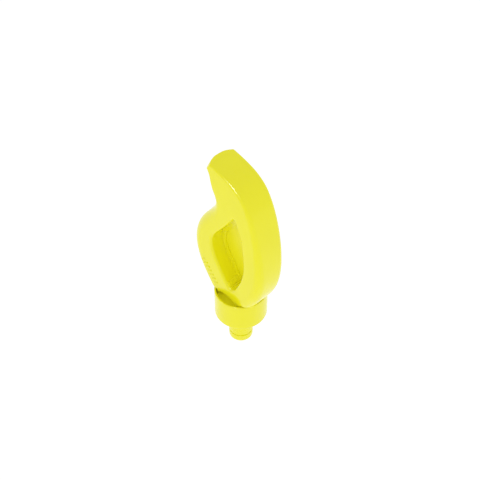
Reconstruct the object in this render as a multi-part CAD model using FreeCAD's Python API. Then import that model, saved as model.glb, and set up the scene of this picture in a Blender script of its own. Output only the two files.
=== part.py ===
"""Anti-twist hook-and-eye end fitting for a cable-pulling rod, in millimetres.

The spigot plugs into the rod. A headed pin, riveted through the spigot, holds the moulded head in
the cup of the collar, and a small ball thrust bearing under the pin head lets the head turn while
it is pulled. The head is two shells that close on a web plate, the bearing and the pin bush.
+Z runs up the pin axis to the horn, X lies across the head and Y through its thickness. The origin
is on the pin axis at the spigot's shoulder, which is the underside of the collar.
"""
import FreeCAD
import Part
import math
import os

# Collar, a cup
COLLAR_R = 7.15            # outside radius
COLLAR_H = 8.8             # shoulder to rim
CUP_WALL = 0.55
CUP_DEPTH = 5.0            # rim to floor
COLLAR_FOOT_FILLET = 0.65  # lower outside edge
LIP_FILLET = 0.2           # both edges of the rim

# Spigot, a flanged tube
SPIGOT_R = 3.3             # plugs into the rod
SPIGOT_LEN = 10.15         # shoulder to end
SPIGOT_END_FLAT = 0.4      # flat ring left between the end's rounding and the rivet's pocket
SPIGOT_NECK_W = 0.6        # thicker part inside the collar
SPIGOT_FLANGE_W = 1.4
SPIGOT_FLANGE_T = 1.0
SNAP_GROOVE_UP = 2.8       # groove centre above the spigot's end
SNAP_GROOVE_W = 0.45
SNAP_GROOVE_DEPTH = 0.2
RIVET_POCKET_GAP = 0.4     # round the riveted end, in the counterbore in the spigot's end
RIVET_POCKET_DEPTH = 1.3

# Pin and its washers
PIN_R = 1.0
PIN_HEAD_INSET = 0.8       # pin head's edge inside the bearing's edge
PIN_HEAD_T = 1.0
PIN_HEAD_FILLET = 0.33
RIVET_SPREAD = 1.5         # riveted end's radius over the pin's
RIVET_HEAD_T = 0.6
RIVET_HEAD_FILLET = 0.3
RIVET_WASHER_T = 0.5
WEAR_WASHER_INSET = 0.5    # washer's edge inside the cup's wall
WEAR_WASHER_T = 0.4
BUSH_WALL = 0.55
BUSH_FLANGE_W = 1.0
BUSH_FLANGE_T = 0.4

# Ball thrust bearing, 2 x 6 x 3
BEARING_R = 3.0
RACE_T = 1.0
BALL_SHARE = 0.3           # ball radius over the room between pin and bearing edge
BALL_COUNT = 6
GROOVE_DEPTH = 0.1         # of the ball track in each race
TRACK_OVER_BALL = 1.1      # radius of the track's section over the ball's radius
CAGE_T = 0.5
CAGE_EDGE = 0.15           # metal left on both sides of each ball

# Head outline
HEAD_H = 40.45             # rim to the side corners of the horn's tip
SPINE_X = 10.75            # pin axis to the spine's bulge
ARM_X = 13.37              # pin axis to the arm's bulge
HEAD_T = 9.88              # thickness at the rim
HEAD_TAPER = 0.038         # thickness lost for each millimetre of height
TIP_FILLET = 0.45          # edge roundings
SPINE_TOP_FILLET = 0.8     # at the shoulder, growing down the spine
SPINE_FILLET = 2.9
ARM_FILLET = 3.0
TIP_CROWN_R = 7.0          # the tip is crowned across the head's thickness
TIP_CROWN_DEPTH = 3.0      # how far down the horn the crown could reach
RIM_GAP = 0.35             # head clear above the collar's rim

# Foot of the head, inside the cup
FOOT_GAP = 0.25            # round the foot, inside the cup
FOOT_WALL = 1.0            # between the bearing and the reliefs
FOOT_FLOOR_T = 1.6         # below the bearing
FOOT_FLANGE_H = 3.4        # height of the full round part
RELIEF_R = 5.0             # arched relief on both sides of the foot
RELIEF_X = -0.7
RELIEF_RISE = 0.75         # top of the arch above the rim
SEAL_GROOVE_W = 0.9
SEAL_GROOVE_DEPTH = 0.5

# Pockets and web
WEB_T = 0.6
WEB_SEAT_T = 0.8           # moulding left between the pin head's space and the web
WEB_INSET = 1.6            # web edge inside the head outline
WEB_TIP_GAP = 4.5          # web's top end below the horn's tip
INSET_POINTS = 8           # points taken on each edge of the outline to draw the web's edge
LIP_T = 0.35               # lip that traps the web
LIP_W = 1.2
POCKET_RIM_FILLET = 0.75
REST_BACK = 1.3            # wire rest's crest, to the arm's side of the pocket's lowest point
REST_RISE = 1.44           # and above it
REST_FACET = 0.74          # sloping face, measured along X
REST_STEP = 0.35

# Dowels that key the shells together
DOWEL_R = 0.8
DOWEL_LEN = 6.0

# Clearances
RUNNING = 0.05             # radial, between parts that turn on each other
SEAT = 0.02                # radial, between parts that stay together
LOOSE = 0.15               # radial, round the pin where nothing runs on it
FACE = 0.05                # axial, between faces that slide on each other
PIN_HEAD_GAP = 0.2         # axial, over the pin head
BALL_EASE = 0.01           # axial, between a ball and its track
DOWEL_END = 0.1            # axial, at both ends of a dowel
WEB_EDGE_GAP = 0.06        # round the web's edge

# Outlines, as shares of the head's height and of the bulge on that side
SPINE_TOP = [(-0.026, 0.965), (0.216, 0.931), (0.411, 0.886), (0.554, 0.831)]
SPINE_LOW = [(0.554, 0.831), (0.762, 0.705), (0.907, 0.564), (0.991, 0.408), (1.0, 0.289),
             (0.893, 0.134), (0.485, -0.069)]
ARM_LOW = [(0.438, -0.069), (0.752, 0.078), (0.927, 0.193), (1.0, 0.321), (0.963, 0.422),
           (0.867, 0.499), (0.628, 0.608), (0.464, 0.690)]
HORN_IN = [(0.464, 0.690), (0.404, 0.766), (0.443, 0.828), (0.486, 0.915), (0.592, 0.990)]
NOSE = (0.590, 1.006)
TIP = (0.545, 1.013)       # this one and NOSE lie on the arm's side of the pin axis
POCKET_RIGHT = [(0.33, 0.185), (0.441, 0.277), (0.476, 0.383), (0.436, 0.499), (0.317, 0.628)]
POCKET_TOP = (0.115, 0.697)
POCKET_LEFT = [(0.037, 0.633), (0.239, 0.541), (0.419, 0.452), (0.445, 0.361), (0.329, 0.262),
               (0.12, 0.153)]
POCKET_LOW = (0.08, 0.089)
DOWELS = [(0.1, 0.84, "spine"), (0.72, 0.334, "arm"), (0.74, 0.408, "spine"),
          (0.60, 0.165, "arm"), (0.63, 0.156, "spine")]

# Directions in which the outline runs where its curves meet, as the same shares
AT_TIP = (1.0, -0.06)
AT_SHOULDER = (0.46, -0.21)
AT_SPINE_END = (-0.44, -0.21)
AT_ARM_START = (0.43, 0.20)
AT_THROAT = (-0.37, 0.21)
AT_HORN_END = (0.35, 0.22)
TIP_AIM = (-0.84, 0.54)    # the way the horn's tip points, as X and Z
TIP_ZONE = 0.95            # share of the head's height above which edges keep the tip's rounding

# Radii worked out from the sizes above
CUP_R = COLLAR_R - CUP_WALL
FOOT_R = CUP_R - FOOT_GAP
WEAR_WASHER_R = CUP_R - WEAR_WASHER_INSET
SPIGOT_NECK_R = SPIGOT_R + SPIGOT_NECK_W
SPIGOT_FLANGE_R = SPIGOT_R + SPIGOT_FLANGE_W
RIVET_HEAD_R = PIN_R * RIVET_SPREAD
RIVET_POCKET_R = RIVET_HEAD_R + RIVET_POCKET_GAP
SPIGOT_END_FILLET = SPIGOT_R - RIVET_POCKET_R - SPIGOT_END_FLAT
BUSH_BORE_R = PIN_R + RUNNING
BUSH_R = BUSH_BORE_R + BUSH_WALL
BUSH_FLANGE_R = BUSH_R + BUSH_FLANGE_W
PIN_HEAD_R = BEARING_R - PIN_HEAD_INSET
BALL_R = BALL_SHARE * (BEARING_R - PIN_R)
BALL_CIRCLE_R = (PIN_R + BEARING_R) / 2
TRACK_R = BALL_R * TRACK_OVER_BALL
CAGE_IN_R = BALL_CIRCLE_R - BALL_R - CAGE_EDGE
CAGE_OUT_R = BALL_CIRCLE_R + BALL_R + CAGE_EDGE
RELIEF_HALF_T = BEARING_R + FOOT_WALL
SEAL_IN_R = FOOT_R - SEAL_GROOVE_DEPTH + SEAT
SEAL_SECTION_R = (CUP_R - RUNNING - SEAL_IN_R) / 2

# Heights above the shoulder, worked out from the sizes above
RIM_Z = COLLAR_H
CUP_FLOOR_Z = RIM_Z - CUP_DEPTH
FOOT_Z = CUP_FLOOR_Z + WEAR_WASHER_T + FACE
BEARING_Z = FOOT_Z + FOOT_FLOOR_T
BALL_Z = BEARING_Z + RACE_T - GROOVE_DEPTH + BALL_R
UPPER_RACE_Z = BALL_Z + BALL_R - GROOVE_DEPTH
PIN_HEAD_Z = UPPER_RACE_Z + RACE_T
CAVITY_TOP_Z = PIN_HEAD_Z + PIN_HEAD_T + PIN_HEAD_GAP
SPIGOT_END_Z = -SPIGOT_LEN
RIVET_SEAT_Z = SPIGOT_END_Z + RIVET_POCKET_DEPTH
FLANGE_TOP_Z = FOOT_Z + FOOT_FLANGE_H
SEAL_Z = FOOT_Z + FOOT_FLANGE_H / 2
HEAD_BASE_Z = RIM_Z + RIM_GAP
WEB_BASE_Z = CAVITY_TOP_Z + WEB_SEAT_T
WEB_TOP_Z = RIM_Z + HEAD_H - WEB_TIP_GAP
LIP_Y = WEB_T / 2 + LIP_T

# Working values
SPAN = 60.0                # reach of cutting tools, longer than any part
PAST = 1.0                 # how far a cutting tool passes a face
SAME = 1e-3                # sizes this close are the same


def vec(x, y, z):
    return FreeCAD.Vector(x, y, z)


def cylinder(radius, z_low, z_high):
    return Part.makeCylinder(radius, z_high - z_low, vec(0, 0, z_low))


def ring(r_in, r_out, z_low, z_high):
    return cylinder(r_out, z_low, z_high).cut(cylinder(r_in, z_low - PAST, z_high + PAST))


def slab(y_low, y_high, z_low=-SPAN, z_high=SPAN):
    return Part.makeBox(2 * SPAN, y_high - y_low, z_high - z_low, vec(-SPAN, y_low, z_low))


def spine_point(share):
    return vec(share[0] * SPINE_X, 0, RIM_Z + share[1] * HEAD_H)


def arm_point(share):
    return vec(-share[0] * ARM_X, 0, RIM_Z + share[1] * HEAD_H)


def spine_aim(share):
    return vec(share[0] * SPINE_X, 0, share[1] * HEAD_H)


def arm_aim(share):
    return vec(-share[0] * ARM_X, 0, share[1] * HEAD_H)


def spline(points):
    curve = Part.BSplineCurve()
    curve.interpolate(Points=points)
    return curve.toShape()


def aimed_spline(points, start, end):
    """A spline that leaves and arrives in given directions."""
    curve = Part.BSplineCurve()
    curve.interpolate(Points=points, InitialTangent=start, FinalTangent=end)
    return curve.toShape()


def half_thickness(z):
    return (HEAD_T - HEAD_TAPER * (z - RIM_Z)) / 2


def circle_edges(shape, radius, z):
    """The edges of a turned part at one radius and height."""
    found = []
    for edge in shape.Edges:
        if not isinstance(edge.Curve, Part.Circle):
            continue
        if abs(edge.Curve.Radius - radius) < SAME and abs(edge.Curve.Center.z - z) < SAME:
            found.append(edge)
    return found


# Collar body

def collar():
    body = cylinder(COLLAR_R, 0, COLLAR_H)
    body = body.cut(cylinder(CUP_R, CUP_FLOOR_Z, COLLAR_H + PAST))
    body = body.cut(cylinder(SPIGOT_FLANGE_R + SEAT, CUP_FLOOR_Z - SPIGOT_FLANGE_T, COLLAR_H))
    body = body.cut(cylinder(SPIGOT_NECK_R + SEAT, -PAST, COLLAR_H))
    body = body.makeFillet(COLLAR_FOOT_FILLET, circle_edges(body, COLLAR_R, 0))
    lip = circle_edges(body, COLLAR_R, COLLAR_H) + circle_edges(body, CUP_R, COLLAR_H)
    return body.makeFillet(LIP_FILLET, lip)


def spigot():
    flange_low = CUP_FLOOR_Z - SPIGOT_FLANGE_T
    neck = cylinder(SPIGOT_NECK_R, 0, flange_low)
    flange = cylinder(SPIGOT_FLANGE_R, flange_low, CUP_FLOOR_Z)
    body = cylinder(SPIGOT_R, SPIGOT_END_Z, 0).fuse([neck, flange]).removeSplitter()
    body = body.makeFillet(SPIGOT_END_FILLET, circle_edges(body, SPIGOT_R, SPIGOT_END_Z))
    groove_low = SPIGOT_END_Z + SNAP_GROOVE_UP - SNAP_GROOVE_W / 2
    groove_r = SPIGOT_R - SNAP_GROOVE_DEPTH
    body = body.cut(ring(groove_r, SPIGOT_R + PAST, groove_low, groove_low + SNAP_GROOVE_W))
    body = body.cut(cylinder(PIN_R + SEAT, SPIGOT_END_Z - PAST, CUP_FLOOR_Z + PAST))
    return body.cut(cylinder(RIVET_POCKET_R, SPIGOT_END_Z - PAST, RIVET_SEAT_Z))


def swivel_pin():
    rivet_top = RIVET_SEAT_Z - RIVET_WASHER_T
    rivet_end = rivet_top - RIVET_HEAD_T
    head_top = PIN_HEAD_Z + PIN_HEAD_T
    head = cylinder(PIN_HEAD_R, PIN_HEAD_Z, head_top)
    head = head.makeFillet(PIN_HEAD_FILLET, circle_edges(head, PIN_HEAD_R, head_top))
    rivet = cylinder(RIVET_HEAD_R, rivet_end, rivet_top)
    rivet = rivet.makeFillet(RIVET_HEAD_FILLET, circle_edges(rivet, RIVET_HEAD_R, rivet_end))
    return cylinder(PIN_R, rivet_end, PIN_HEAD_Z).fuse([head, rivet]).removeSplitter()


def rivet_washer():
    return ring(PIN_R + SEAT, RIVET_POCKET_R - SEAT, RIVET_SEAT_Z - RIVET_WASHER_T, RIVET_SEAT_Z)


def wear_washer():
    return ring(PIN_R + LOOSE, WEAR_WASHER_R, CUP_FLOOR_Z, CUP_FLOOR_Z + WEAR_WASHER_T)


# Thrust bearing

def ball_track(side):
    """Groove that the balls run in: side is -1 below the balls and 1 above them."""
    rise = side * (BALL_R + BALL_EASE - TRACK_R)
    return Part.makeTorus(BALL_CIRCLE_R, TRACK_R, vec(0, 0, BALL_Z + rise))


def lower_race():
    race = ring(PIN_R + LOOSE, BEARING_R, BEARING_Z, BEARING_Z + RACE_T)
    return race.cut(ball_track(-1))


def upper_race():
    race = ring(PIN_R + SEAT, BEARING_R - RUNNING, UPPER_RACE_Z, PIN_HEAD_Z)
    return race.cut(ball_track(1))


def ball_places():
    step = 2 * math.pi / BALL_COUNT
    return [vec(BALL_CIRCLE_R * math.cos(i * step), BALL_CIRCLE_R * math.sin(i * step), BALL_Z)
            for i in range(BALL_COUNT)]


def ball_cage():
    cage = ring(CAGE_IN_R, CAGE_OUT_R, BALL_Z - CAGE_T / 2, BALL_Z + CAGE_T / 2)
    for place in ball_places():
        cage = cage.cut(Part.makeCylinder(BALL_R + SEAT, 2 * PAST, place - vec(0, 0, PAST)))
    return cage


def bearing_balls():
    return Part.makeCompound([Part.makeSphere(BALL_R, place) for place in ball_places()])


def pin_bush():
    tube = cylinder(BUSH_R, FOOT_Z, BEARING_Z)
    flange = cylinder(BUSH_FLANGE_R, FOOT_Z, FOOT_Z + BUSH_FLANGE_T)
    bore = cylinder(BUSH_BORE_R, FOOT_Z - PAST, BEARING_Z + PAST)
    return tube.fuse(flange).removeSplitter().cut(bore)


# Head

def outline_edges():
    """The head's outline in the XZ plane: spine, underside, arm, horn and its rounded nose."""
    tip, shoulder, spine_end = [spine_aim(way) for way in (AT_TIP, AT_SHOULDER, AT_SPINE_END)]
    arm_start, throat, horn_end = [arm_aim(way) for way in (AT_ARM_START, AT_THROAT, AT_HORN_END)]
    top = aimed_spline([arm_point(TIP)] + [spine_point(p) for p in SPINE_TOP], tip, shoulder)
    low = aimed_spline([spine_point(p) for p in SPINE_LOW], shoulder, spine_end)
    arm = aimed_spline([arm_point(p) for p in ARM_LOW], arm_start, throat)
    horn = aimed_spline([arm_point(p) for p in HORN_IN], throat, horn_end)
    base = Part.makeLine(spine_point(SPINE_LOW[-1]), arm_point(ARM_LOW[0]))
    nose = aimed_spline([arm_point(p) for p in (HORN_IN[-1], NOSE, TIP)], horn_end, tip)
    return [top, low, base, arm, horn, nose]


def outline_face():
    return Part.Face(Part.Wire(Part.__sortEdges__(outline_edges())))


def inset_curve(edges, inset, z_top):
    """A smooth curve inside some of the outline's edges, as far up as z_top."""
    points = []
    for edge in edges:
        span = edge.LastParameter - edge.FirstParameter
        for i in range(INSET_POINTS):
            at = edge.FirstParameter + span * (i + 0.5) / INSET_POINTS
            along = edge.tangentAt(at)
            point = edge.valueAt(at) + vec(along.z, 0, -along.x) * inset
            if point.z < z_top:
                points.append(point)
    return spline(points)


def inset_face(inset, z_top):
    """A flat plate outline inside the head's outline, cut off short of the horn's tip."""
    top, low, _, arm, horn, _ = outline_edges()
    sides = [inset_curve([top, low], inset, z_top), inset_curve([arm, horn], inset, z_top)]
    spine_top, spine_end, arm_start, arm_top = [corner.Point for side in sides for corner in side.Vertexes]
    links = [Part.makeLine(spine_end, arm_start), Part.makeLine(arm_top, spine_top)]
    return Part.Face(Part.Wire([sides[0], links[0], sides[1], links[1]]))


def through(face, y_low, y_high):
    """A flat face in the XZ plane made solid from y_low to y_high."""
    moved = face.copy()
    moved.translate(vec(0, y_low, 0))
    return moved.extrude(vec(0, y_high - y_low, 0))


def thickness_wedge():
    """The space between the head's two side faces, which draw together towards the horn."""
    low, high = half_thickness(-SPAN), half_thickness(SPAN)
    corners = [vec(-SPAN, -low, -SPAN), vec(-SPAN, low, -SPAN),
               vec(-SPAN, high, SPAN), vec(-SPAN, -high, SPAN)]
    return Part.Face(Part.makePolygon(corners + corners[:1])).extrude(vec(2 * SPAN, 0, 0))


def on_side_face(point):
    return abs(abs(point.y) - half_thickness(point.z)) < SAME


def along_edge(edge):
    """An edge's first, middle and last points."""
    first, last = edge.FirstParameter, edge.LastParameter
    return [edge.valueAt(at) for at in (first, (first + last) / 2, last)]


def rounding(point):
    """The rounding of the side edges at one of the outline's corners."""
    if point.z > RIM_Z + TIP_ZONE * HEAD_H:
        return TIP_FILLET
    if point.x < 0:
        return ARM_FILLET
    return SPINE_TOP_FILLET if point.z > RIM_Z + HEAD_H / 2 else SPINE_FILLET


def rounded_sides(body):
    """Round the edges of both side faces, with a radius that grows away from the horn's tip."""
    radii = []
    for number, edge in enumerate(body.Edges, 1):
        start, middle, end = along_edge(edge)
        if all(on_side_face(p) for p in (start, middle, end)) and max(start.z, end.z) > HEAD_BASE_Z:
            radii.append((number, rounding(start), rounding(end)))
    document = FreeCAD.newDocument()
    source = document.addObject("Part::Feature")
    source.Shape = body
    fillet = document.addObject("Part::Fillet")
    fillet.Base = source
    fillet.Edges = radii
    document.recompute()
    return fillet.Shape.copy()


def tip_crown():
    """What lies outside the crown across the horn's tip."""
    outside = Part.makeBox(2 * SPAN, 2 * SPAN, SPAN, vec(-SPAN, -SPAN, TIP_CROWN_R - TIP_CROWN_DEPTH))
    outside = outside.cut(Part.makeCylinder(TIP_CROWN_R, 4 * SPAN, vec(-2 * SPAN, 0, 0), vec(1, 0, 0)))
    way = vec(TIP_AIM[0], 0, TIP_AIM[1]).normalize()
    turn = FreeCAD.Rotation(vec(0, 0, 1), way)
    outside.Placement = FreeCAD.Placement(arm_point(NOSE) - way * TIP_CROWN_R, turn)
    return outside


def closed_spline(points):
    curve = Part.BSplineCurve()
    curve.interpolate(Points=points, PeriodicFlag=True)
    return curve.toShape()


def pocket_outline(inset=0.0):
    """The pocket's outline as a flat face; inset draws it in by that much all round."""
    points = [spine_point(POCKET_TOP)] + [arm_point(p) for p in POCKET_LEFT]
    points += [spine_point(p) for p in [POCKET_LOW] + POCKET_RIGHT]
    edge = closed_spline(points)
    if inset:
        edge = closed_spline([inside_point(edge, point, inset) for point in points])
    return Part.Face(Part.Wire(edge))


def inside_point(edge, point, inset):
    """The place that lies inside the outline by inset, level with one of its points."""
    along = edge.tangentAt(edge.Curve.parameter(point))
    return point + vec(-along.z, 0, along.x) * inset


def pocket_space(side, floor_y, inset=0.0):
    """A pocket's space outside floor_y: side is -1 at the front and 1 at the rear."""
    near, far = sorted((side * floor_y, side * SPAN))
    return through(pocket_outline(inset), near, far)


def pocket_rim(body):
    """The edges where the pockets meet the side faces."""
    box = pocket_outline().BoundBox
    found = []
    for edge in body.Edges:
        size = edge.BoundBox
        inside = box.XMin - SAME < size.XMin and size.XMax < box.XMax + SAME
        inside = inside and box.ZMin - SAME < size.ZMin and size.ZMax < box.ZMax + SAME
        if inside and on_side_face(along_edge(edge)[1]):
            found.append(edge)
    return found


def upper_head():
    body = through(outline_face(), -HEAD_T, HEAD_T).common(thickness_wedge())
    body = rounded_sides(body).cut(tip_crown())
    body = body.cut(slab(-SPAN, SPAN, -SPAN, HEAD_BASE_Z))
    for side in (-1, 1):
        body = body.cut(pocket_space(side, LIP_Y))
    body = body.makeFillet(POCKET_RIM_FILLET, pocket_rim(body))
    for side in (-1, 1):
        body = body.cut(pocket_space(side, 0, LIP_W))
    return body


def foot():
    """The part of the head inside the cup: a round flange under a flat-sided neck."""
    neck = cylinder(FOOT_R, FOOT_Z, HEAD_BASE_Z + PAST).common(thickness_wedge())
    arch_end = vec(RELIEF_X, -SPAN, RIM_Z + RELIEF_RISE - RELIEF_R)
    arch = Part.makeCylinder(RELIEF_R, 2 * SPAN, arch_end, vec(0, 1, 0))
    arch = arch.cut(slab(-RELIEF_HALF_T, RELIEF_HALF_T)).cut(slab(-SPAN, SPAN, -SPAN, FLANGE_TOP_Z))
    flange = cylinder(FOOT_R, FOOT_Z, FLANGE_TOP_Z)
    return neck, flange, arch


def bearing_space():
    """What the foot leaves free for the bearing, pin head, bush and seal."""
    cavity = cylinder(BEARING_R + RUNNING, BEARING_Z, CAVITY_TOP_Z)
    bush_hole = cylinder(BUSH_R + SEAT, FOOT_Z - PAST, BEARING_Z + PAST)
    bush_recess = cylinder(BUSH_FLANGE_R + SEAT, FOOT_Z - PAST, FOOT_Z + BUSH_FLANGE_T)
    groove_low = SEAL_Z - SEAL_GROOVE_W / 2
    groove = ring(FOOT_R - SEAL_GROOVE_DEPTH, FOOT_R + PAST, groove_low, groove_low + SEAL_GROOVE_W)
    return [cavity, bush_hole, bush_recess, groove]


def dowel(share, gap=0.0, end_gap=0.0):
    """One dowel, or with the gaps its hole: share gives its place and the side it is measured to."""
    place = spine_point(share) if share[2] == "spine" else arm_point(share)
    length = DOWEL_LEN + 2 * end_gap
    return Part.makeCylinder(DOWEL_R + gap, length, vec(place.x, -length / 2, place.z), vec(0, 1, 0))


def web_outline(edge_gap=0.0, face_gap=0.0):
    """The web as a plain plate, or with the gaps the space for it."""
    y_high = WEB_T / 2 + face_gap
    web = through(inset_face(WEB_INSET - edge_gap, WEB_TOP_Z + edge_gap), -y_high, y_high)
    return web.cut(slab(-SPAN, SPAN, -SPAN, WEB_BASE_Z - edge_gap))


def web_plate():
    web = web_outline()
    for share in DOWELS:
        web = web.cut(dowel(share, SEAT))
    return web


def head_halves():
    """The front and rear shells, cut from one head along its middle plane."""
    neck, flange, arch = foot()
    head = upper_head().fuse([neck, flange]).removeSplitter().cut(arch)
    head = head.cut(bearing_space() + [web_outline(WEB_EDGE_GAP, SEAT)])
    head = head.cut([dowel(share, SEAT, DOWEL_END) for share in DOWELS])
    front = head.cut(slab(0, SPAN))
    rear = head.cut(slab(-SPAN, 0))
    return front, rear


def dust_seal():
    return Part.makeTorus(SEAL_IN_R + SEAL_SECTION_R, SEAL_SECTION_R, vec(0, 0, SEAL_Z))


def wire_rest(side):
    """Stepped block in the bottom of a pocket, where a tied wire bears."""
    box = pocket_outline().BoundBox
    crest = spine_point(POCKET_LOW) + vec(-REST_BACK, 0, REST_RISE)
    nose = crest + vec(REST_FACET, 0, -REST_FACET)
    tread = nose + vec(0, 0, -REST_STEP)
    riser = tread + vec(REST_STEP, 0, 0)
    corners = [vec(box.XMin, 0, crest.z), crest, nose, tread, riser,
               vec(riser.x, 0, box.ZMin), vec(box.XMin, 0, box.ZMin)]
    profile = Part.Face(Part.makePolygon(corners + corners[:1]))
    near, far = sorted((side * LIP_Y, side * (half_thickness(crest.z) - POCKET_RIM_FILLET)))
    return through(profile, near, far).common(pocket_space(side, LIP_Y))


def write(name, shape):
    if shape.ShapeType == "Compound" and len(shape.Solids) == 1:
        shape = shape.Solids[0]
    shape.exportStep(os.path.join("parts", name + ".step"))
    print(name, len(shape.Solids), "valid" if shape.isValid() else "INVALID", round(shape.Volume, 2))


def main():
    os.makedirs("parts", exist_ok=True)
    front, rear = head_halves()
    write("front_shell", front)
    write("rear_shell", rear)
    write("web_plate", web_plate())
    write("shell_dowels", Part.makeCompound([dowel(share) for share in DOWELS]))
    write("front_wire_rest", wire_rest(-1))
    write("rear_wire_rest", wire_rest(1))
    write("pin_bush", pin_bush())
    write("dust_seal", dust_seal())
    write("lower_race", lower_race())
    write("ball_cage", ball_cage())
    write("bearing_balls", bearing_balls())
    write("upper_race", upper_race())
    write("swivel_pin", swivel_pin())
    write("wear_washer", wear_washer())
    write("rivet_washer", rivet_washer())
    write("spigot", spigot())
    write("collar", collar())


main()
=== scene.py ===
"""Swivelling hook-and-eye end fitting for a cable-pulling rod, finished for display.

The moulded pieces are smooth copies of the fitting's solids, the metal pieces keep their own
meshes, and a row of grip ribs is added to the arm. Lengths are in metres, and MM is a millimetre.
"""
import math

import bmesh
import bpy
from mathutils import Matrix, Vector
from mathutils.bvhtree import BVHTree


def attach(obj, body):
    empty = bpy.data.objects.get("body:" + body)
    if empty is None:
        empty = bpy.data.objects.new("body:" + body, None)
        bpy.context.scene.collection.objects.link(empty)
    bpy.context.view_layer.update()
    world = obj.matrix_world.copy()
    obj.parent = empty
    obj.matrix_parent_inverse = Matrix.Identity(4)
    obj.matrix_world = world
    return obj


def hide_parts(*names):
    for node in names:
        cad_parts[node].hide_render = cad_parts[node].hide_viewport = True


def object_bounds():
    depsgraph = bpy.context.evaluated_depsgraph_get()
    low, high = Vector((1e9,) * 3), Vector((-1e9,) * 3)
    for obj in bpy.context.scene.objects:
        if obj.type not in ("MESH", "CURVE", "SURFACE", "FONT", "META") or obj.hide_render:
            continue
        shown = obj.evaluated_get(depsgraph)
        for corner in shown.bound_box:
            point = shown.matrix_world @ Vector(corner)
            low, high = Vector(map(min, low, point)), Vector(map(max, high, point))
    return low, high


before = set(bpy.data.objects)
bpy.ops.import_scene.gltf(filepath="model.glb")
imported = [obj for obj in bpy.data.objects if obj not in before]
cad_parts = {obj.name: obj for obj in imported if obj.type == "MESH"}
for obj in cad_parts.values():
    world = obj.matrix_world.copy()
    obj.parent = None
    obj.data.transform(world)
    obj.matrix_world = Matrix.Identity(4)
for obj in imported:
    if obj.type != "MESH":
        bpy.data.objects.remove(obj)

MM = 0.001
cad_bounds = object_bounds()

# Camera, above the fitting's front and looking past its spine
CAMERA_AT = Vector((97.2, -97.5, 162.0)) * MM
CAMERA_AIM = Vector((-0.19, -0.19, 26.7)) * MM
IMAGE_SIDE = 480
CAMERA_REACH = 772          # distance to the image plane, in the same units as the image's side

# Light: boxes are placed and aimed in millimetres
WORLD_STRENGTH = 0.82
KEY_AT, KEY_AIM = (150, -210, 215), (0, 0, 20)
KEY_SIDES, KEY_WATTS = (70, 70), 0.04
GLINT_AT, GLINT_AIM = (57, -204, 240), (0, 0, 25)
GLINT_SIDES, GLINT_WATTS = (110, 110), 0.8
FLOOR_GLOW = 0.28
FLOOR_SIDE = 3.0
FLOOR_DROP = 40 * MM        # under the spigot's end, as if the fitting were held up

# Smooth shading: mesh facets turn less than this from one to the next, real corners turn more
CORNER = math.radians(32)
WELD = 0.001 * MM


def linear(hex_colour):
    """The linear colour, with alpha, of an sRGB hex value."""
    channels = [int(hex_colour[i:i + 2], 16) / 255 for i in (1, 3, 5)]
    bent = [c / 12.92 if c <= 0.04045 else ((c + 0.055) / 1.055) ** 2.4 for c in channels]
    return bent + [1.0]


def per(size_mm):
    """A pattern's scale for a feature of this size in millimetres."""
    return 1 / (size_mm * MM)


def add(tree, kind, inputs=None, **settings):
    """Add one shader node: settings go on the node, inputs are values or sockets to join."""
    made = tree.nodes.new(kind)
    for key, value in settings.items():
        setattr(made, key, value)
    for key, value in (inputs or {}).items():
        if isinstance(value, bpy.types.NodeSocket):
            tree.links.new(value, made.inputs[key])
        else:
            made.inputs[key].default_value = value
    return made


def blank(name):
    """An empty material and its tree."""
    material = bpy.data.materials.new(name)
    material.use_nodes = True
    material.node_tree.nodes.clear()
    return material, material.node_tree


def finish_surface(tree, shader):
    add(tree, "ShaderNodeOutputMaterial", {"Surface": shader.outputs[0]})


# Materials

def moulded_nylon(name, colour, shade, roughness, peel_mm=1.6, peel_rise_mm=0.0012):
    """Nylon, injection moulded in a polished tool.

    It has a clear gloss over an even colour, faint flow streaks along the head, a little orange
    peel, and pigment specks that are drawn coarser than real so that they show.
    """
    material, tree = blank(name)
    place = add(tree, "ShaderNodeTexCoord").outputs["Object"]
    stretched = add(tree, "ShaderNodeMapping", {"Vector": place, "Scale": (1, 1, 0.35)})
    flow = add(tree, "ShaderNodeTexNoise", {"Vector": stretched.outputs[0], "Scale": per(4.5),
                                            "Detail": 3.0, "Roughness": 0.55})
    streak = add(tree, "ShaderNodeMapRange", {"Value": flow.outputs[0], "From Min": 0.35,
                                              "From Max": 0.65, "To Min": 0.0, "To Max": 0.35})
    tint = add(tree, "ShaderNodeMix", {"Factor": streak.outputs[0], 6: linear(colour),
                                       7: linear(shade)}, data_type="RGBA")
    specks = add(tree, "ShaderNodeTexNoise", {"Vector": place, "Scale": per(0.25), "Detail": 2.0})
    gloss = add(tree, "ShaderNodeMapRange", {"Value": specks.outputs[0], "From Min": 0.3,
                                             "From Max": 0.7, "To Min": roughness * 0.85,
                                             "To Max": roughness * 1.2})
    peel = add(tree, "ShaderNodeTexNoise", {"Vector": place, "Scale": per(peel_mm), "Detail": 1.0})
    skin = add(tree, "ShaderNodeBump", {"Height": peel.outputs[0], "Strength": 1.0,
                                        "Distance": peel_rise_mm * MM})
    shader = add(tree, "ShaderNodeBsdfPrincipled", {"Base Color": tint.outputs[2],
                                                    "Roughness": gloss.outputs[0],
                                                    "Normal": skin.outputs[0], "IOR": 1.53,
                                                    "Specular IOR Level": 0.4})
    finish_surface(tree, shader)
    return material


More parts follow.
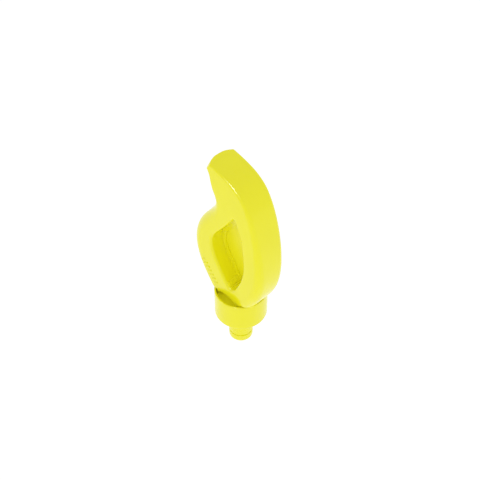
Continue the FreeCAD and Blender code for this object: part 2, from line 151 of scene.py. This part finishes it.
def ground_stainless(name):
    """Stainless steel, turned and ground: a fine circular lay round the pin's axis."""
    material, tree = blank(name)
    place = add(tree, "ShaderNodeTexCoord").outputs["Object"]
    lay = add(tree, "ShaderNodeTexWave", {"Vector": place, "Scale": per(0.35), "Distortion": 1.5,
                                          "Detail": 3.0, "Detail Scale": 4.0},
              wave_type="RINGS", rings_direction="Z")
    gloss = add(tree, "ShaderNodeMapRange", {"Value": lay.outputs["Fac"], "To Min": 0.24,
                                             "To Max": 0.38})
    marks = add(tree, "ShaderNodeBump", {"Height": lay.outputs["Fac"], "Strength": 0.35,
                                         "Distance": 0.002 * MM})
    shader = add(tree, "ShaderNodeBsdfPrincipled", {"Base Color": linear("#CACBCE"), "Metallic": 1.0,
                                                    "Roughness": gloss.outputs[0],
                                                    "Normal": marks.outputs[0]})
    finish_surface(tree, shader)
    return material


def lapped_steel(name, colour, roughness):
    """Bearing steel, hardened and lapped: nearly a mirror, with a faint cloudiness."""
    material, tree = blank(name)
    place = add(tree, "ShaderNodeTexCoord").outputs["Object"]
    cloud = add(tree, "ShaderNodeTexNoise", {"Vector": place, "Scale": per(0.5), "Detail": 4.0})
    gloss = add(tree, "ShaderNodeMapRange", {"Value": cloud.outputs[0], "To Min": roughness * 0.7,
                                             "To Max": roughness * 1.5})
    shader = add(tree, "ShaderNodeBsdfPrincipled", {"Base Color": linear(colour), "Metallic": 1.0,
                                                    "Roughness": gloss.outputs[0]})
    finish_surface(tree, shader)
    return material


def pressed_brass(name):
    """Brass, blanked from sheet: a warm satin with streaks from the rolling."""
    material, tree = blank(name)
    place = add(tree, "ShaderNodeTexCoord").outputs["Object"]
    along = add(tree, "ShaderNodeMapping", {"Vector": place, "Scale": (0.12, 1, 1)})
    rolling = add(tree, "ShaderNodeTexNoise", {"Vector": along.outputs[0], "Scale": per(0.2),
                                               "Detail": 3.0})
    tone = add(tree, "ShaderNodeMix", {"Factor": rolling.outputs[0], 6: linear("#D9B45B"),
                                       7: linear("#B98D3A")}, data_type="RGBA")
    shader = add(tree, "ShaderNodeBsdfPrincipled", {"Base Color": tone.outputs[2], "Metallic": 1.0,
                                                    "Roughness": 0.32})
    finish_surface(tree, shader)
    return material


def sintered_bronze(name):
    """Bronze, pressed from powder and oiled: brown, dull and full of pores."""
    material, tree = blank(name)
    place = add(tree, "ShaderNodeTexCoord").outputs["Object"]
    pores = add(tree, "ShaderNodeTexVoronoi", {"Vector": place, "Scale": per(0.18)})
    tone = add(tree, "ShaderNodeMix", {"Factor": pores.outputs["Distance"], 6: linear("#5A3A20"),
                                       7: linear("#A87648")}, data_type="RGBA")
    pits = add(tree, "ShaderNodeBump", {"Height": pores.outputs["Distance"], "Strength": 0.6,
                                        "Distance": 0.01 * MM})
    shader = add(tree, "ShaderNodeBsdfPrincipled", {"Base Color": tone.outputs[2], "Metallic": 1.0,
                                                    "Roughness": 0.5, "Normal": pits.outputs[0]})
    finish_surface(tree, shader)
    return material


def moulded_nitrile(name):
    """Nitrile rubber, moulded: black, matt, with a fine bloom."""
    material, tree = blank(name)
    place = add(tree, "ShaderNodeTexCoord").outputs["Object"]
    bloom = add(tree, "ShaderNodeTexNoise", {"Vector": place, "Scale": per(0.6), "Detail": 5.0})
    tone = add(tree, "ShaderNodeMix", {"Factor": bloom.outputs[0], 6: linear("#141414"),
                                       7: linear("#2A2A29")}, data_type="RGBA")
    shader = add(tree, "ShaderNodeBsdfPrincipled", {"Base Color": tone.outputs[2],
                                                    "Roughness": 0.62, "IOR": 1.52})
    finish_surface(tree, shader)
    return material


def turned_acetal(name):
    """Natural acetal, turned from rod: milky white and waxy, with fine tool rings."""
    material, tree = blank(name)
    place = add(tree, "ShaderNodeTexCoord").outputs["Object"]
    rings = add(tree, "ShaderNodeTexWave", {"Vector": place, "Scale": per(0.5), "Distortion": 0.4},
                wave_type="RINGS", rings_direction="Z")
    marks = add(tree, "ShaderNodeBump", {"Height": rings.outputs["Fac"], "Strength": 0.4,
                                         "Distance": 0.004 * MM})
    shader = add(tree, "ShaderNodeBsdfPrincipled", {"Base Color": linear("#EDEDE6"),
                                                    "Roughness": 0.42, "IOR": 1.48,
                                                    "Subsurface Weight": 0.08,
                                                    "Subsurface Scale": 0.4 * MM,
                                                    "Normal": marks.outputs[0]})
    finish_surface(tree, shader)
    return material


def white_card(name):
    """Matt white card, evenly lit: the studio floor."""
    material, tree = blank(name)
    shader = add(tree, "ShaderNodeBsdfPrincipled", {"Base Color": linear("#F4F4F4"), "Roughness": 0.9,
                                                    "Emission Color": linear("#FFFFFF"),
                                                    "Emission Strength": FLOOR_GLOW})
    finish_surface(tree, shader)
    return material


YELLOW = "#F5F01A"
YELLOW_SHADE = "#F1EB17"

shell_nylon = moulded_nylon("moulded_nylon_shell", YELLOW, YELLOW_SHADE, 0.15)
web_nylon = moulded_nylon("moulded_nylon_web", YELLOW, YELLOW_SHADE, 0.32)
rest_nylon = moulded_nylon("moulded_nylon_rest", YELLOW, YELLOW_SHADE, 0.28)
collar_nylon = moulded_nylon("moulded_nylon_collar", YELLOW, YELLOW_SHADE, 0.15)
spigot_nylon = moulded_nylon("moulded_nylon_spigot", YELLOW, YELLOW_SHADE, 0.26)
pin_steel = ground_stainless("ground_stainless_steel")
race_steel = lapped_steel("lapped_bearing_steel_races", "#C9CACC", 0.16)
ball_steel = lapped_steel("polished_bearing_steel_balls", "#D6D7D9", 0.07)
cage_brass = pressed_brass("pressed_brass")
bush_bronze = sintered_bronze("sintered_bronze")
seal_rubber = moulded_nitrile("moulded_nitrile_rubber")
washer_acetal = turned_acetal("turned_natural_acetal")


# Pieces

def finished_copy(node, body, material):
    """A welded, smoothly shaded copy of one solid, which is shown in its place."""
    mesh = bpy.data.meshes.new(node + "_moulding")
    shape = bmesh.new()
    shape.from_mesh(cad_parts[node].data)
    bmesh.ops.remove_doubles(shape, verts=shape.verts, dist=WELD)
    for face in shape.faces:
        face.smooth = True
        face.material_index = 0
    for edge in shape.edges:
        edge.smooth = len(edge.link_faces) == 2 and edge.calc_face_angle(0) < CORNER
    shape.to_mesh(mesh)
    shape.free()
    piece = bpy.data.objects.new(node + "_moulding", mesh)
    bpy.context.scene.collection.objects.link(piece)
    mesh.materials.append(material)
    piece.modifiers.new("even_shading", "WEIGHTED_NORMAL").keep_sharp = True
    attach(piece, body)
    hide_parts(node)
    return piece


def refinish(node, material):
    """Give one solid's own mesh a better finish."""
    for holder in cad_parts[node].material_slots:
        holder.material = material


# Grip ribs on the arm's front edge
RIB_COUNT = 7
RIB_LONG = 1.5 * MM
RIB_WIDE = 0.5 * MM
RIB_RISE = 0.2 * MM         # above the arm's surface
RIB_SUNK = 0.5 * MM         # below it
RIB_EDGE = 0.12 * MM
RIB_EDGE_SEGMENTS = 4
# The row's two ends, moved onto the nearest surface
RIB_RUN = [Vector((-9.0, -4.6, 16.9)) * MM, Vector((-4.5, -4.6, 11.2)) * MM]


def grip_ribs():
    """A row of short rounded ribs across the arm's front edge, for a wet or gloved hand."""
    skin = BVHTree.FromObject(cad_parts["front_shell"], bpy.context.evaluated_depsgraph_get())
    start, end = RIB_RUN
    row = (end - start).normalized()
    shape = bmesh.new()
    for i in range(RIB_COUNT):
        spot, out, _, _ = skin.find_nearest(start.lerp(end, i / (RIB_COUNT - 1)))
        along = (row - out * row.dot(out)).normalized()
        across = out.cross(along)
        turn = Matrix((across, along, out)).transposed().to_4x4()
        bar = bmesh.ops.create_cube(shape, size=1)["verts"]
        bmesh.ops.scale(shape, verts=bar, vec=(RIB_LONG, RIB_WIDE, RIB_RISE + RIB_SUNK))
        bmesh.ops.translate(shape, verts=bar, vec=(0, 0, (RIB_RISE - RIB_SUNK) / 2))
        bmesh.ops.transform(shape, verts=bar, matrix=Matrix.Translation(spot) @ turn)
    bmesh.ops.bevel(shape, geom=shape.edges[:], offset=RIB_EDGE, affect="EDGES",
                    segments=RIB_EDGE_SEGMENTS, profile=0.5, material=-1)
    bmesh.ops.recalc_face_normals(shape, faces=shape.faces)
    for face in shape.faces:
        face.smooth = True
    mesh = bpy.data.meshes.new("grip_ribs")
    shape.to_mesh(mesh)
    shape.free()
    piece = bpy.data.objects.new("grip_ribs", mesh)
    bpy.context.scene.collection.objects.link(piece)
    mesh.materials.append(shell_nylon)
    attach(piece, "head")


grip_ribs()
finished_copy("front_shell", "head", shell_nylon)
finished_copy("rear_shell", "head", shell_nylon)
finished_copy("web_plate", "head", web_nylon)
finished_copy("front_wire_rest", "head", rest_nylon)
finished_copy("rear_wire_rest", "head", rest_nylon)
finished_copy("collar", "base", collar_nylon)
finished_copy("spigot", "base", spigot_nylon)
finished_copy("swivel_pin", "base", pin_steel)
finished_copy("dust_seal", "head", seal_rubber)
finished_copy("bearing_balls", "cage", ball_steel)
for steel_node in ("rivet_washer", "shell_dowels"):
    refinish(steel_node, pin_steel)
for race_node in ("lower_race", "upper_race"):
    refinish(race_node, race_steel)
refinish("ball_cage", cage_brass)
refinish("pin_bush", bush_bronze)
refinish("wear_washer", washer_acetal)


# Stage

def looking(at, aim):
    """The placement of a lamp or camera at one point that looks at another."""
    return Matrix.Translation(at) @ (at - aim).to_track_quat("Z", "Y").to_matrix().to_4x4()


def card_floor():
    shape = bmesh.new()
    bmesh.ops.create_grid(shape, x_segments=1, y_segments=1, size=FLOOR_SIDE / 2)
    low = cad_bounds[0][2] - FLOOR_DROP
    bmesh.ops.translate(shape, verts=shape.verts, vec=(0, 0, low))
    mesh = bpy.data.meshes.new("card_floor")
    shape.to_mesh(mesh)
    shape.free()
    floor = bpy.data.objects.new("card_floor", mesh)
    bpy.context.scene.collection.objects.link(floor)
    mesh.materials.append(white_card("matt_white_card"))


def soft_box(name, at_mm, aim_mm, sides_mm, watts):
    """A rectangular lamp that faces the point it is aimed at."""
    lamp = bpy.data.lights.new(name, "AREA")
    lamp.shape = "RECTANGLE"
    lamp.size = sides_mm[0] * MM
    lamp.size_y = sides_mm[1] * MM
    lamp.energy = watts
    holder = bpy.data.objects.new(name, lamp)
    bpy.context.scene.collection.objects.link(holder)
    at = Vector(at_mm) * MM
    aim = Vector(aim_mm) * MM
    holder.matrix_world = looking(at, aim)
    return holder


def studio():
    """A white room, a key light, and a glint light that adds gloss along edges and nothing else."""
    world = bpy.data.worlds.new("white_room")
    world.use_nodes = True
    sky = world.node_tree.nodes["Background"]
    sky.inputs["Color"].default_value = linear("#FFFFFF")
    sky.inputs["Strength"].default_value = WORLD_STRENGTH
    bpy.context.scene.world = world
    soft_box("key_soft_box", KEY_AT, KEY_AIM, KEY_SIDES, KEY_WATTS)
    glint = soft_box("glint_soft_box", GLINT_AT, GLINT_AIM, GLINT_SIDES, GLINT_WATTS)
    glint.visible_diffuse = False


def camera():
    lens = bpy.data.cameras.new("camera")
    lens.angle = 2 * math.atan(IMAGE_SIDE / 2 / CAMERA_REACH)
    lens.clip_start = 1 * MM
    lens.dof.use_dof = False
    holder = bpy.data.objects.new("camera", lens)
    bpy.context.scene.collection.objects.link(holder)
    holder.matrix_world = looking(CAMERA_AT, CAMERA_AIM)
    bpy.context.scene.camera = holder


bpy.context.scene.view_settings.view_transform = "Standard"
card_floor()
studio()
camera()
